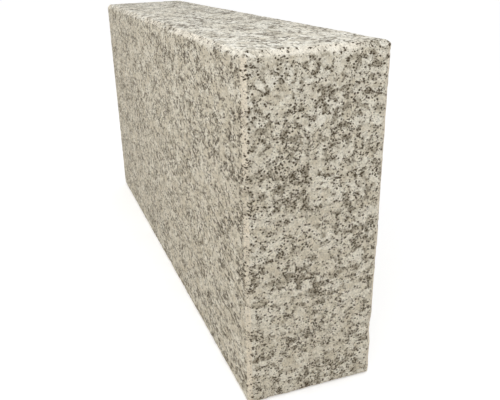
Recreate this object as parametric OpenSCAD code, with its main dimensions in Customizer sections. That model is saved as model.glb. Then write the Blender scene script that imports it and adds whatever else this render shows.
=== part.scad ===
// Granite kerb stone: one sawn block with a bevel ground along every arris.
// It stands on its bed, with its length along X and its front face towards -Y.
// The origin is the middle of the bed. All sizes are in millimetres.

/* [Block] */
// Length of the stone, from joint face to joint face
stone_length = 500; // [300:10:1500]
// Height of the stone, from the bed to the top face
stone_height = 250; // [150:5:400]
// Width of the stone, from the front face to the back face
stone_width = 100; // [60:5:300]

/* [Arrises] */
// Bevel along the four edges of the top face, as wide on each of the two faces it joins
top_bevel = 3.5; // [1:0.5:10]
// Bevel along the four upright edges, as wide on each of the two faces it joins
upright_bevel = 3; // [1:0.5:10]
// Bevel along the four edges of the bed, as wide on each of the two faces it joins
bed_bevel = 2; // [1:0.5:10]

/* [Hidden] */

// Warm pale grey of sawn granite
granite_colour = "#bdb8aa";

// A rectangle centred across and standing on its lower edge,
// with one bevel on its two lower corners and another on its two upper ones
module bevelled_outline(across, up, lower_bevel, upper_bevel) {
    half = across / 2;
    polygon([
        [-half + lower_bevel, 0],
        [half - lower_bevel, 0],
        [half, lower_bevel],
        [half, up - upper_bevel],
        [half - upper_bevel, up],
        [-half + upper_bevel, up],
        [-half, up - upper_bevel],
        [-half, lower_bevel],
    ]);
}

// The end section, drawn through the whole length: bevels the long edges of top and bed
module end_section() {
    rotate([90, 0, 90])
        linear_extrude(height = stone_length, center = true)
            bevelled_outline(stone_width, stone_height, bed_bevel, top_bevel);
}

// The front elevation, drawn through the whole width: bevels the short edges of top and bed
module front_elevation() {
    rotate([90, 0, 0])
        linear_extrude(height = stone_width, center = true)
            bevelled_outline(stone_length, stone_height, bed_bevel, top_bevel);
}

// The plan, drawn through the whole height: bevels the upright edges
module plan() {
    linear_extrude(height = stone_height)
        translate([0, -stone_width / 2])
            bevelled_outline(stone_length, stone_width, upright_bevel, upright_bevel);
}

// The three views cut one block, so that the bevels meet in mitred corners
module kerb_stone() {
    color(granite_colour)
        intersection() {
            end_section();
            front_elevation();
            plan();
        }
}

kerb_stone();
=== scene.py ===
import itertools
import math
import random

import bmesh
import bpy
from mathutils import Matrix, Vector, kdtree, noise


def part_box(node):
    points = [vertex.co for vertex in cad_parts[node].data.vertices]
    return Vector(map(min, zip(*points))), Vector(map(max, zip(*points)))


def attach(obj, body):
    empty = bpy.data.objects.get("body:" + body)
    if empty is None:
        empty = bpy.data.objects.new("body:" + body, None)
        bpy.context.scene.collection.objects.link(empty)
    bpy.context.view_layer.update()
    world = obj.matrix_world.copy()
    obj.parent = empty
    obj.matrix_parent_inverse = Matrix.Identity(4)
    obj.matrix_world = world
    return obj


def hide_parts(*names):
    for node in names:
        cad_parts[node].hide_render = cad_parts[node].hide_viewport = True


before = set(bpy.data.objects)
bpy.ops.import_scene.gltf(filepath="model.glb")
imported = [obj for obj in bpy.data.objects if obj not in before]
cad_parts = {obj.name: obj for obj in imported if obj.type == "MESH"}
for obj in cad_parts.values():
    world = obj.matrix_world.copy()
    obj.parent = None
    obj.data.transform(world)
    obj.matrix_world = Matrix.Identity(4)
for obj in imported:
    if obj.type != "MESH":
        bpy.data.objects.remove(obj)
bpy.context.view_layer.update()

MM = 0.001

# The axes by their numbers
AXES = (0, 1, 2)
X, Y, Z = AXES

# The block in millimetres: length along X, width along Y, height along Z, standing on z = 0
LOW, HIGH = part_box("kerb_stone")
BLOCK = [(high - low) / MM for low, high in zip(LOW, HIGH)]
LENGTH, WIDTH, HEIGHT = BLOCK
HALF_LENGTH = LENGTH / 2
HALF_WIDTH = WIDTH / 2

# Bevels ground along the arrises, as on the solid, in millimetres
TOP_BEVEL = 3.5
UPRIGHT_BEVEL = 3.0
BED_BEVEL = 2.0

# A hand-held grinder wavers: share of a bevel's width that comes and goes, and over how many millimetres
SLOW_WAVER = 0.16
SLOW_WAVER_MM = 38
QUICK_WAVER = 0.10
QUICK_WAVER_MM = 9

# Points of the mesh this near an arris are ground, in millimetres, this many passes settle the corners,
# where three bevels meet, and each point is then drawn this share of the way to its neighbours' middle
GRIND_WITHIN = 2 * TOP_BEVEL
CORNER_PASSES = 6
GRIND_SMOOTHING = 0.5

# Bruises along the arrises: size of a patch in millimetres, their usual strength, that along the top and
# how much it swings, then how far from the sharp arris they reach and over what stretch they fade,
# as shares of the bevel's width
BRUISE_MM = 22
USUAL_BRUISE = 0.75
TOP_BRUISE = 0.3
BRUISE_SWING = 1.1
BRUISE_REACH = 1.05
BRUISE_FADE = 0.2

# Squares of the mesh on the open faces, and the distance from an arris within which they are halved,
# in millimetres
FACE_PITCH = 2.4
FINER_WITHIN = 5.0

# Space round the faces on the sheet that they are laid out on, in millimetres
SHEET_GAP = 4.0

# Chips that show: middle of the chip on the sharp arris, axis that the arris runs along, length and depth,
# in millimetres
SEEN_CHIPS = [
    ((HALF_LENGTH, HALF_WIDTH, 40), Z, 26, 1.3),
    ((220, HALF_WIDTH, HEIGHT), X, 20, 0.8),
    ((-239, -HALF_WIDTH, 0), X, 12, 1.8),
    ((-22, -HALF_WIDTH, 0), X, 10, 1.8),
    ((20, -HALF_WIDTH, 0), X, 10, 1.6),
    ((75, -HALF_WIDTH, 0), X, 9, 1.3),
]

# Nicks from handling: one to this many millimetres of an arris, the share of it that they lie within,
# clear of the corners, the ranges of their lengths and depths in millimetres, and the seed of their draw
NICK_EVERY = 22
NICK_SPAN = 0.97
NICK_LENGTHS = (2.5, 7)
NICK_DEPTHS = (0.2, 0.7)
NICK_SEED = 7

# A chip's half breadth as a share of its length, the least it is in millimetres,
# and its rough floor: shares of its depth, and the sizes of that roughness in millimetres
CHIP_BREADTH = 0.35
LEAST_BREADTH = 2.2
CHIP_ROUGHNESS = ((0.35, 2.2), (0.2, 1.1))

# Relief of the sawn faces: how wide its swells, pits and grains are and how high or deep, in millimetres,
# and the level of their pattern above which pits form
SWELL_MM = 26
SWELL_BY_MM = 0.06
PIT_MM = 8.5
PIT_BY_MM = 0.3
PIT_ABOVE = 0.1
GRAIN_RELIEF_MM = 5
GRAIN_RELIEF_BY_MM = 0.22

# Granite: how many times as long the grains are along the stone and as tall in height as across it
GRAIN_LENGTHEN = 1.4
GRAIN_FLATTEN = 0.88

# Granite: sizes of its patterns in millimetres
DRIFT_MM = 15.5
CRYSTAL_MM = 8.0
RAGGED_MM = 5.1
TONE_MM = 3.7
CLOUD_MM = 4.2
FLECK_MM = 1.3
SPECK_MM = 2.004

# Granite: how far the outlines of its crystals and specks stray, from one side to the other, in millimetres
RAGGED_BY_MM = 6.0
FRAYED_BY_MM = 0.6

# Granite: how broken up its patterns are
BROKEN = {"Detail": 3.0, "Roughness": 0.6}
MOTTLED = {"Detail": 2.0, "Roughness": 0.6}
EVEN = {"Detail": 2.0, "Roughness": 0.5}
FLAKED = {"Detail": 2.0, "Roughness": 0.58}

# Granite: the levels of the pattern where drifts are poorest and richest in dark minerals,
# and what the poorest and the richest count for
DRIFT_FROM = 0.3
DRIFT_FULL = 0.7
POOREST = -0.5
RICHEST = 0.5

# Granite: how much its feldspar's tone goes by the crystal, and the levels where cream starts and is full
TONE_BY_CRYSTAL = 0.4
TONE_FROM = 0.45
TONE_FULL = 0.95

# Granite: how far the seams between its crystals reach into them, as a share of a crystal's size
SEAM_REACH = 0.38

# Granite: how much its quartz gathers in drifts and along seams, and the levels where it starts and is full
QUARTZ_DRIFT = 0.143
QUARTZ_BY_SEAM = 0.104
QUARTZ_FROM = 0.523
QUARTZ_FULL = 0.738

# Granite: the same for its flecks of mica, which also gather among the quartz and are lost by wear
FLECK_DRIFT = 0.065
FLECK_BY_QUARTZ = 0.048
FLECK_BY_SEAM = 0.083
FLECK_LOST_BY_WEAR = 0.03
FLECK_FROM = 0.653
FLECK_FULL = 0.7

# Granite: the same for its specks of mica, and how far one reaches from its middle and how soft its rim is,
# as shares of their spacing
SPECK_DRIFT = 0.205
SPECK_BY_QUARTZ = 0.235
SPECK_BY_SEAM = 0.155
SPECK_LOST_BY_WEAR = 0.12
SPECK_FROM = 0.935
SPECK_FULL = 0.97
SPECK_REACH = 0.415
SPECK_SOFT = 0.09

# Granite: width and depth of its tooth in millimetres, how many times longer it is along the stone,
# the levels of its pattern that are darkest and lightest, how much it darkens and lightens the grains,
# partly as a fine tone and partly as painted shade in its hollows and painted light on its crests,
# and how strong its relief is
TOOTH_MM = 1.0
TOOTH_DEPTH_MM = 0.8
TOOTH_LENGTHEN = 3.6
TOOTH_LOW = 0.2
TOOTH_HIGH = 0.8
TOOTH_PAINTED_SHADE = 0.3
TOOTH_STRENGTH = 0.5

# Granite: colours of its minerals and of its bruises, and its sheen
PALE_FELDSPAR = "#ebe8dd"
CREAM_FELDSPAR = "#d0c9b8"
SMOKY_QUARTZ = "#9a9383"
BRUISED = "#e8e0d0"
BLACK_MICA = "#3f331f"
GRANITE_ROUGHNESS = 0.82
GRANITE_IOR = 1.54

# Camera that sees the stone as the photograph does
CAMERA_PLACE_MM = (565.5, -167.6, 298.3)
CAMERA_TURN_DEG = (67.765, 2.01, 71.202)
CAMERA_LENS_MM = 42.22
CAMERA_SHIFT_X = 0.058

# Floor: half its width in metres, its colour to the eye and to the stone,
# and how much brighter it is to the eye than the daylight alone makes it, so that it is white
FLOOR_REACH = 20
FLOOR_WHITE = "#fafafa"
FLOOR_BOUNCE = "#b2a48b"
FLOOR_LIFT = 0.29

# Studio light: colour of the daylight, its brightness on the stone and to the eye, where 1 is white,
# how wide the soft lamps are, and the place, aim, watts and colour of each lamp, in metres
DAYLIGHT_COLOUR = "#ffffff"
DAYLIGHT = 0.75
DAYLIGHT_SEEN = 1.0
LAMP_ACROSS = 0.5
SOFT_LAMPS = {
    "front_lamp": ((0.06, -0.73, 0.8), (0.0, -0.05, 0.15), 2.4, "#fffdfa"),
    "end_lamp": ((0.58, 0.0, 0.5), (0.25, 0.0, 0.15), 0.89, "#f6faff"),
}

# A pattern's three colours at their middle level
MIDDLE_LEVEL = (0.5, 0.5, 0.5)

# Sockets of a Mix node's two colours and of what they make, whose names its other sockets share
MIX_A = 6
MIX_B = 7
MIXED = 2


def linear(code):
    """An sRGB hex colour as linear red, green, blue and alpha."""
    parts = [int(code[i:i + 2], 16) / 255 for i in (1, 3, 5)]
    return (*(c / 12.92 if c <= 0.04045 else ((c + 0.055) / 1.055) ** 2.4 for c in parts), 1.0)


def kept_between(value, low, high):
    """A value held to a range."""
    return min(max(value, low), high)


# Shape of the stone

def depths(place):
    """How far a point lies under the nearest end, long face, and top or bed."""
    x, y, z = place
    return [HALF_LENGTH - abs(x), HALF_WIDTH - abs(y), min(z, HEIGHT - z)]


def outward(place):
    """On which side of the block's middle a point lies, along X, Y and Z."""
    x, y, z = place
    return Vector((math.copysign(1, x), math.copysign(1, y), math.copysign(1, z - HEIGHT / 2)))


def arris_distance(place):
    """How far a point on the sharp block's surface is from the nearest arris."""
    return sorted(depths(place))[1]


def sawn_block():
    """The sharp block as a mesh of small squares, finer towards its arrises."""
    block = bmesh.new()
    bmesh.ops.create_cube(block, size=1)
    bmesh.ops.scale(block, vec=BLOCK, verts=block.verts)
    bmesh.ops.translate(block, vec=(0, 0, HEIGHT / 2), verts=block.verts)
    for axis, size in zip(AXES, BLOCK):
        along = [e for e in block.edges if abs((e.verts[0].co - e.verts[1].co)[axis]) > size / 2]
        bmesh.ops.subdivide_edges(block, edges=along, cuts=round(size / FACE_PITCH) - 1, use_grid_fill=True)
    near = {v for v in block.verts if arris_distance(v.co) < FINER_WITHIN}
    inside = [e for e in block.edges if e.verts[0] in near and e.verts[1] in near]
    bmesh.ops.subdivide_edges(block, edges=inside, cuts=1, use_grid_fill=True)
    bmesh.ops.triangulate(block, faces=[f for f in block.faces if len(f.verts) > 4])
    return block


def lay_out_faces(block):
    """Lays the six faces side by side on one square sheet, all at one scale."""
    beside = LENGTH + SHEET_GAP
    above = HEIGHT + SHEET_GAP
    # By the face's axis and side: its lower left corner
    corners = {
        (Y, -1): (0, 0),
        (Y, 1): (0, above),
        (Z, 1): (0, 2 * above),
        (Z, -1): (0, 2 * above + WIDTH + SHEET_GAP),
        (X, 1): (beside, 0),
        (X, -1): (beside, above),
    }
    # Both long faces, the top and the bed stand in one column, with a gap under, between and over them
    sheet = 2 * (HEIGHT + WIDTH) + 5 * SHEET_GAP
    layer = block.loops.layers.uv.new("OFBake")
    block.normal_update()
    for face in block.faces:
        axis = max(AXES, key=lambda i: abs(face.normal[i]))
        across, up = corners[axis, 1 if face.normal[axis] > 0 else -1]
        for loop in face.loops:
            x, y, z = loop.vert.co
            measures = [x + HALF_LENGTH, y + HALF_WIDTH, z]
            del measures[axis]
            u, v = measures
            loop[layer].uv = ((across + u + SHEET_GAP) / sheet, (up + v + SHEET_GAP) / sheet)


def bevel_between(axes, side):
    """Width of the bevel between the two faces across these axes, on this side of the block."""
    if Z not in axes:
        return UPRIGHT_BEVEL
    return TOP_BEVEL if side.z > 0 else BED_BEVEL


def bruising(place):
    """How far grinding has bruised an arris here, in patches; the top arrises less than the others."""
    usual = TOP_BRUISE if place.z > HEIGHT - TOP_BEVEL else USUAL_BRUISE
    return kept_between(usual + BRUISE_SWING * noise.noise(place / BRUISE_MM), 0, 1)


def wavering(place):
    """How many times its usual width a bevel is here."""
    slow = SLOW_WAVER * noise.noise(place / SLOW_WAVER_MM)
    quick = QUICK_WAVER * noise.noise(place / QUICK_WAVER_MM)
    return 1 + slow + quick


def grind_arrises(block):
    """Cuts the arrises back to their bevels, wavering a little as a hand-held grinder does."""
    worn = block.verts.layers.float.new("worn")
    pairs = ((X, Y), (X, Z), (Y, Z))
    ground = [v for v in block.verts if arris_distance(v.co) < GRIND_WITHIN]
    for vert in ground:
        side = outward(vert.co)
        under = depths(vert.co)
        waver = wavering(vert.co)
        widths = {pair: waver * bevel_between(pair, side) for pair in pairs}
        share = min((under[a] + under[b]) / widths[a, b] for a, b in pairs)
        bare = kept_between((BRUISE_REACH - share) / BRUISE_FADE, 0, 1)
        vert[worn] = bare * bruising(vert.co)
        for _ in range(CORNER_PASSES):
            for a, b in pairs:
                short = max(widths[a, b] - under[a] - under[b], 0) / 2
                under[a] += short
                under[b] += short
        vert.co.x = side.x * (HALF_LENGTH - under[X])
        vert.co.y = side.y * (HALF_WIDTH - under[Y])
        vert.co.z = HEIGHT - under[Z] if side.z > 0 else under[Z]
    bmesh.ops.smooth_vert(block, verts=ground, factor=GRIND_SMOOTHING,
                          use_axis_x=True, use_axis_y=True, use_axis_z=True)


def strewn_nicks(chance):
    """Small nicks from handling, strewn along every arris."""
    nicks = []
    for axis, size in zip(AXES, BLOCK):
        for arris in itertools.product((-1, 1), repeat=2):
            for _ in range(round(size / NICK_EVERY)):
                sides = list(arris)
                sides.insert(axis, chance.uniform(-NICK_SPAN, NICK_SPAN))
                x, y, z = sides
                place = (x * HALF_LENGTH, y * HALF_WIDTH, (z + 1) * HEIGHT / 2)
                nicks.append((place, axis, chance.uniform(*NICK_LENGTHS), chance.uniform(*NICK_DEPTHS)))
    return nicks


def knock_chips(block, chips):
    """Scoops shallow, rough-floored chips out of the arrises."""
    block.verts.ensure_lookup_table()
    tree = kdtree.KDTree(len(block.verts))
    for vert in block.verts:
        tree.insert(vert.co, vert.index)
    tree.balance()
    for place, axis, length, depth in chips:
        middle = Vector(place)
        side = outward(middle)
        run = Vector((0, 0, 0))
        run[axis] = 1
        inward = (run * side[axis] - side).normalized()
        lateral = run.cross(inward)
        # The bevel's flat lies this far in from the sharp arris
        start = bevel_between([i for i in AXES if i != axis], side) / math.sqrt(2)
        breadth = max(CHIP_BREADTH * length, LEAST_BREADTH)
        for co, index, _ in tree.find_range(middle, length / 2 + GRIND_WITHIN):
            along = (co - middle).dot(run)
            across = (co - middle).dot(lateral)
            bowl = 1 - (2 * along / length) ** 2 - (across / breadth) ** 2
            rough = sum(share * noise.noise(co / size) for share, size in CHIP_ROUGHNESS)
            cut = start + depth * (bowl + rough * max(bowl, 0)) - (co - middle).dot(inward)
            if bowl > 0 and cut > 0:
                block.verts[index].co = co + inward * cut


def roughen_faces(block):
    """Gives the sawn faces their faint unevenness: a slow swell, some pits and the grains."""
    block.normal_update()
    for vert in block.verts:
        swell = SWELL_BY_MM * noise.noise(vert.co / SWELL_MM)
        pit = PIT_BY_MM * max(noise.noise(vert.co / PIT_MM) - PIT_ABOVE, 0)
        grain = GRAIN_RELIEF_BY_MM * noise.noise(vert.co / GRAIN_RELIEF_MM)
        vert.co += vert.normal * (swell - pit + grain)
        vert.co.z = max(vert.co.z, 0)


def dressed_stone():
    """The kerb stone as it is laid: sawn, its arrises ground and a little knocked about."""
    block = sawn_block()
    lay_out_faces(block)
    grind_arrises(block)
    knock_chips(block, SEEN_CHIPS + strewn_nicks(random.Random(NICK_SEED)))
    roughen_faces(block)
    bmesh.ops.scale(block, vec=(MM, MM, MM), verts=block.verts)
    mesh = bpy.data.meshes.new("dressed_kerb_stone")
    block.to_mesh(mesh)
    block.free()
    mesh.shade_smooth()
    mesh.materials.append(sawn_granite())
    stone = bpy.data.objects.new("dressed_kerb_stone", mesh)
    bpy.context.collection.objects.link(stone)
    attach(stone, "root")
    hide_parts("kerb_stone")


# Materials

def add(tree, kind, inputs=None, **settings):
    """Adds a node with its settings, and feeds each input a value or another node's output."""
    made = tree.nodes.new(kind)
    for name, value in settings.items():
        setattr(made, name, value)
    for name, value in (inputs or {}).items():
        if isinstance(value, bpy.types.NodeSocket):
            tree.links.new(value, made.inputs[name])
        else:
            made.inputs[name].default_value = value
    return made


def per(size_mm):
    """Pattern scale, in repeats per metre, for a feature of this size."""
    return 1 / (size_mm * MM)


def strayed(tree, place, pattern, by_mm):
    """A place moved about by a pattern's three colours, by up to half this distance each way."""
    centred = add(tree, "ShaderNodeVectorMath", {0: pattern, 1: MIDDLE_LEVEL}, operation="SUBTRACT")
    moved = add(tree, "ShaderNodeVectorMath", {0: centred.outputs[0], 1: [by_mm * MM] * 3, 2: place},
                operation="MULTIPLY_ADD")
    return moved.outputs[0]


def gathered(tree, pattern, shares):
    """A pattern raised where its mineral gathers: each share is another pattern and its weight."""
    for other, weight in shares:
        pattern = add(tree, "ShaderNodeMath", {0: other, 1: weight, 2: pattern},
                      operation="MULTIPLY_ADD").outputs[0]
    return pattern


def mineral_drifts(tree, laid):
    """Drifts, where the melt was rich in quartz and mica."""
    drifts = add(tree, "ShaderNodeTexNoise", {"Vector": laid, "Scale": per(DRIFT_MM), **EVEN})
    rich = add(tree, "ShaderNodeMapRange",
               {"Value": drifts.outputs["Fac"], "From Min": DRIFT_FROM, "From Max": DRIFT_FULL,
                "To Min": POOREST, "To Max": RICHEST})
    return rich.outputs[0]


def feldspar_crystals(tree, laid):
    """Feldspar in crystals with ragged outlines: their colour, white to cream, and the seams between them."""
    tearing = add(tree, "ShaderNodeTexNoise", {"Vector": laid, "Scale": per(RAGGED_MM), **BROKEN})
    ragged = strayed(tree, laid, tearing.outputs["Color"], RAGGED_BY_MM)
    crystals = {"Vector": ragged, "Scale": per(CRYSTAL_MM)}
    crystal = add(tree, "ShaderNodeTexVoronoi", crystals)
    edge = add(tree, "ShaderNodeTexVoronoi", crystals, feature="DISTANCE_TO_EDGE")
    seam = add(tree, "ShaderNodeMapRange",
               {"Value": edge.outputs["Distance"], "From Max": SEAM_REACH, "To Min": 1.0, "To Max": 0.0})
    tones = add(tree, "ShaderNodeTexNoise", {"Vector": laid, "Scale": per(TONE_MM), **MOTTLED})
    lot = add(tree, "ShaderNodeSeparateColor", {"Color": crystal.outputs["Color"]})
    tone = gathered(tree, tones.outputs["Fac"], [(lot.outputs["Green"], TONE_BY_CRYSTAL)])
    creamy = add(tree, "ShaderNodeMapRange", {"Value": tone, "From Min": TONE_FROM, "From Max": TONE_FULL})
    feldspar = add(tree, "ShaderNodeMix",
                   {"Factor": creamy.outputs[0], MIX_A: linear(PALE_FELDSPAR), MIX_B: linear(CREAM_FELDSPAR)},
                   data_type="RGBA")
    return feldspar.outputs[MIXED], seam.outputs[0]


def quartz_patches(tree, laid, rich, seam):
    """Where the smoky quartz is: in soft patches, most of them along the seams."""
    clouds = add(tree, "ShaderNodeTexNoise", {"Vector": laid, "Scale": per(CLOUD_MM), **BROKEN})
    rank = gathered(tree, clouds.outputs["Fac"], [(rich, QUARTZ_DRIFT), (seam, QUARTZ_BY_SEAM)])
    smoky = add(tree, "ShaderNodeMapRange", {"Value": rank, "From Min": QUARTZ_FROM, "From Max": QUARTZ_FULL},
                interpolation_type="SMOOTHSTEP")
    return smoky.outputs[0]


def mica_grains(tree, laid, rich, smoky, seam, worn):
    """Where the black mica is: in flecks and specks, most of them among the quartz and along the seams."""
    # Ragged flecks of about 1 mm
    flecks = add(tree, "ShaderNodeTexNoise", {"Vector": laid, "Scale": per(FLECK_MM), **FLAKED})
    rank = gathered(tree, flecks.outputs["Fac"], [(rich, FLECK_DRIFT), (smoky, FLECK_BY_QUARTZ),
                                                  (seam, FLECK_BY_SEAM), (worn, -FLECK_LOST_BY_WEAR)])
    fleck = add(tree, "ShaderNodeMapRange", {"Value": rank, "From Min": FLECK_FROM, "From Max": FLECK_FULL},
                interpolation_type="SMOOTHSTEP")

    # Rounded specks of 1 to 2 mm, that the saw has cut at different heights
    frayed = strayed(tree, laid, flecks.outputs["Color"], FRAYED_BY_MM)
    specks = add(tree, "ShaderNodeTexVoronoi", {"Vector": frayed, "Scale": per(SPECK_MM)})
    rounded = add(tree, "ShaderNodeMapRange",
                  {"Value": specks.outputs["Distance"], "From Min": SPECK_REACH + SPECK_SOFT,
                   "From Max": SPECK_REACH - SPECK_SOFT}, interpolation_type="SMOOTHSTEP")
    draw = add(tree, "ShaderNodeSeparateColor", {"Color": specks.outputs["Color"]})
    pick = gathered(tree, draw.outputs["Red"], [(rich, SPECK_DRIFT), (smoky, SPECK_BY_QUARTZ),
                                                (seam, SPECK_BY_SEAM), (worn, -SPECK_LOST_BY_WEAR)])
    picked = add(tree, "ShaderNodeMapRange", {"Value": pick, "From Min": SPECK_FROM, "From Max": SPECK_FULL})
    speck = add(tree, "ShaderNodeMath", {0: rounded.outputs[0], 1: picked.outputs[0]}, operation="MULTIPLY")
    mica = add(tree, "ShaderNodeMath", {0: fleck.outputs[0], 1: speck.outputs[0]}, operation="MAXIMUM")
    return mica.outputs[0]


def saw_tooth(tree, where):
    """The tooth of the sawn faces, drawn out along the stone, and as coarse as it needs to be to show."""
    scored = add(tree, "ShaderNodeVectorMath", {0: where, 1: (1 / TOOTH_LENGTHEN, 1, 1)},
                 operation="MULTIPLY")
    tooth = add(tree, "ShaderNodeTexNoise", {"Vector": scored.outputs[0], "Scale": per(TOOTH_MM), **EVEN})
    return tooth.outputs["Fac"]


def sawn_granite():
    """Sawn granite: pale feldspar crystals, smoky quartz between them, and flecks of black mica.

    To the eye it is a matt pale ground, mottled grey, with small dark specks that gather in drifts.
    """
    material = bpy.data.materials.new("sawn_granite")
    material.use_nodes = True
    tree = material.node_tree
    tree.nodes.clear()
    where = add(tree, "ShaderNodeTexCoord").outputs["Object"]
    laid = add(tree, "ShaderNodeVectorMath", {0: where, 1: (1 / GRAIN_LENGTHEN, 1, 1 / GRAIN_FLATTEN)},
               operation="MULTIPLY").outputs[0]
    worn = add(tree, "ShaderNodeAttribute", attribute_name="worn").outputs["Fac"]
    rich = mineral_drifts(tree, laid)
    feldspar, seam = feldspar_crystals(tree, laid)
    smoky = quartz_patches(tree, laid, rich, seam)
    mica = mica_grains(tree, laid, rich, smoky, seam, worn)
    tooth = saw_tooth(tree, where)

    # Quartz among the feldspar, the paler bruises that grinding leaves on both, and mica over all
    colour = feldspar
    for share, tint in ((smoky, SMOKY_QUARTZ), (worn, BRUISED), (mica, BLACK_MICA)):
        colour = add(tree, "ShaderNodeMix", {"Factor": share, MIX_A: colour, MIX_B: linear(tint)},
                     data_type="RGBA").outputs[MIXED]

    # The tooth darkens and lightens the grains, partly as a fine tone and partly as painted shade in its
    # hollows and painted light on its crests, and its relief breaks up the light
    tooth_painted_shade = add(tree, "ShaderNodeMapRange", {"Value": tooth, "From Min": TOOTH_LOW, "From Max": TOOTH_HIGH,
                                             "To Min": 1 - TOOTH_PAINTED_SHADE, "To Max": 1 + TOOTH_PAINTED_SHADE})
    with_painted_shade = add(tree, "ShaderNodeVectorMath", {0: colour, "Scale": tooth_painted_shade.outputs[0]}, operation="SCALE")
    relief = add(tree, "ShaderNodeBump", {"Height": tooth, "Strength": TOOTH_STRENGTH,
                                          "Distance": TOOTH_DEPTH_MM * MM})
    surface = add(tree, "ShaderNodeBsdfPrincipled",
                  {"Base Color": with_painted_shade.outputs[0], "Roughness": GRANITE_ROUGHNESS, "IOR": GRANITE_IOR,
                   "Normal": relief.outputs[0]})
    add(tree, "ShaderNodeOutputMaterial", {"Surface": surface.outputs[0]})
    return material


def seen_directly(tree):
    """One where a surface is seen by the camera, or in a reflection or through glass; otherwise nought."""
    path = add(tree, "ShaderNodeLightPath").outputs
    seen = path["Is Camera Ray"]
    for other in ("Is Glossy Ray", "Is Transmission Ray"):
        seen = add(tree, "ShaderNodeMath", {0: seen, 1: path[other]}, operation="MAXIMUM").outputs[0]
    return seen


def pale_floor():
    """Matt painted floor, white to the eye, that gives the stone back only some of the light."""
    material = bpy.data.materials.new("pale_floor")
    material.use_nodes = True
    tree = material.node_tree
    tree.nodes.clear()
    seen = seen_directly(tree)
    colour = add(tree, "ShaderNodeMix",
                 {"Factor": seen, MIX_A: linear(FLOOR_BOUNCE), MIX_B: linear(FLOOR_WHITE)}, data_type="RGBA")
    matt = add(tree, "ShaderNodeBsdfDiffuse", {"Color": colour.outputs[MIXED]})
    lift = add(tree, "ShaderNodeMath", {0: seen, 1: FLOOR_LIFT}, operation="MULTIPLY")
    glow = add(tree, "ShaderNodeEmission", {"Strength": lift.outputs[0]})
    surface = add(tree, "ShaderNodeAddShader", {0: matt.outputs[0], 1: glow.outputs[0]})
    add(tree, "ShaderNodeOutputMaterial", {"Surface": surface.outputs[0]})
    return material


# Studio

def light_studio():
    """Even white daylight from all round, and two soft lamps, one at the front face and one at the end."""
    world = bpy.data.worlds.new("white_studio")
    world.use_nodes = True
    tree = world.node_tree
    tree.nodes.clear()
    seen = seen_directly(tree)
    strength = add(tree, "ShaderNodeMapRange", {"Value": seen, "To Min": DAYLIGHT, "To Max": DAYLIGHT_SEEN})
    sky = add(tree, "ShaderNodeBackground",
              {"Color": linear(DAYLIGHT_COLOUR), "Strength": strength.outputs[0]})
    add(tree, "ShaderNodeOutputWorld", {"Surface": sky.outputs[0]})
    bpy.context.scene.world = world
    for name, (place, aim, watts, colour) in SOFT_LAMPS.items():
        lamp = bpy.data.lights.new(name, "AREA")
        lamp.shape = "DISK"
        lamp.size = LAMP_ACROSS
        lamp.energy = watts
        lamp.color = linear(colour)[:3]
        stand = bpy.data.objects.new(name, lamp)
        stand.location = place
        stand.rotation_euler = (Vector(aim) - stand.location).to_track_quat("-Z", "Y").to_euler()
        bpy.context.collection.objects.link(stand)


def lay_floor():
    """A wide floor under the stone."""
    corners = [(x * FLOOR_REACH, y * FLOOR_REACH, 0) for x, y in ((-1, -1), (1, -1), (1, 1), (-1, 1))]
    mesh = bpy.data.meshes.new("floor")
    mesh.from_pydata(corners, [], [(0, 1, 2, 3)])
    mesh.materials.append(pale_floor())
    floor = bpy.data.objects.new("floor", mesh)
    bpy.context.collection.objects.link(floor)


def place_camera():
    """The camera at the photograph's viewing angle."""
    data = bpy.data.cameras.new("camera")
    data.lens = CAMERA_LENS_MM
    data.shift_x = CAMERA_SHIFT_X
    camera = bpy.data.objects.new("camera", data)
    camera.location = Vector(CAMERA_PLACE_MM) * MM
    camera.rotation_euler = [math.radians(angle) for angle in CAMERA_TURN_DEG]
    bpy.context.collection.objects.link(camera)
    bpy.context.scene.camera = camera


bpy.context.scene.view_settings.view_transform = "Standard"
dressed_stone()
lay_floor()
light_studio()
place_camera()
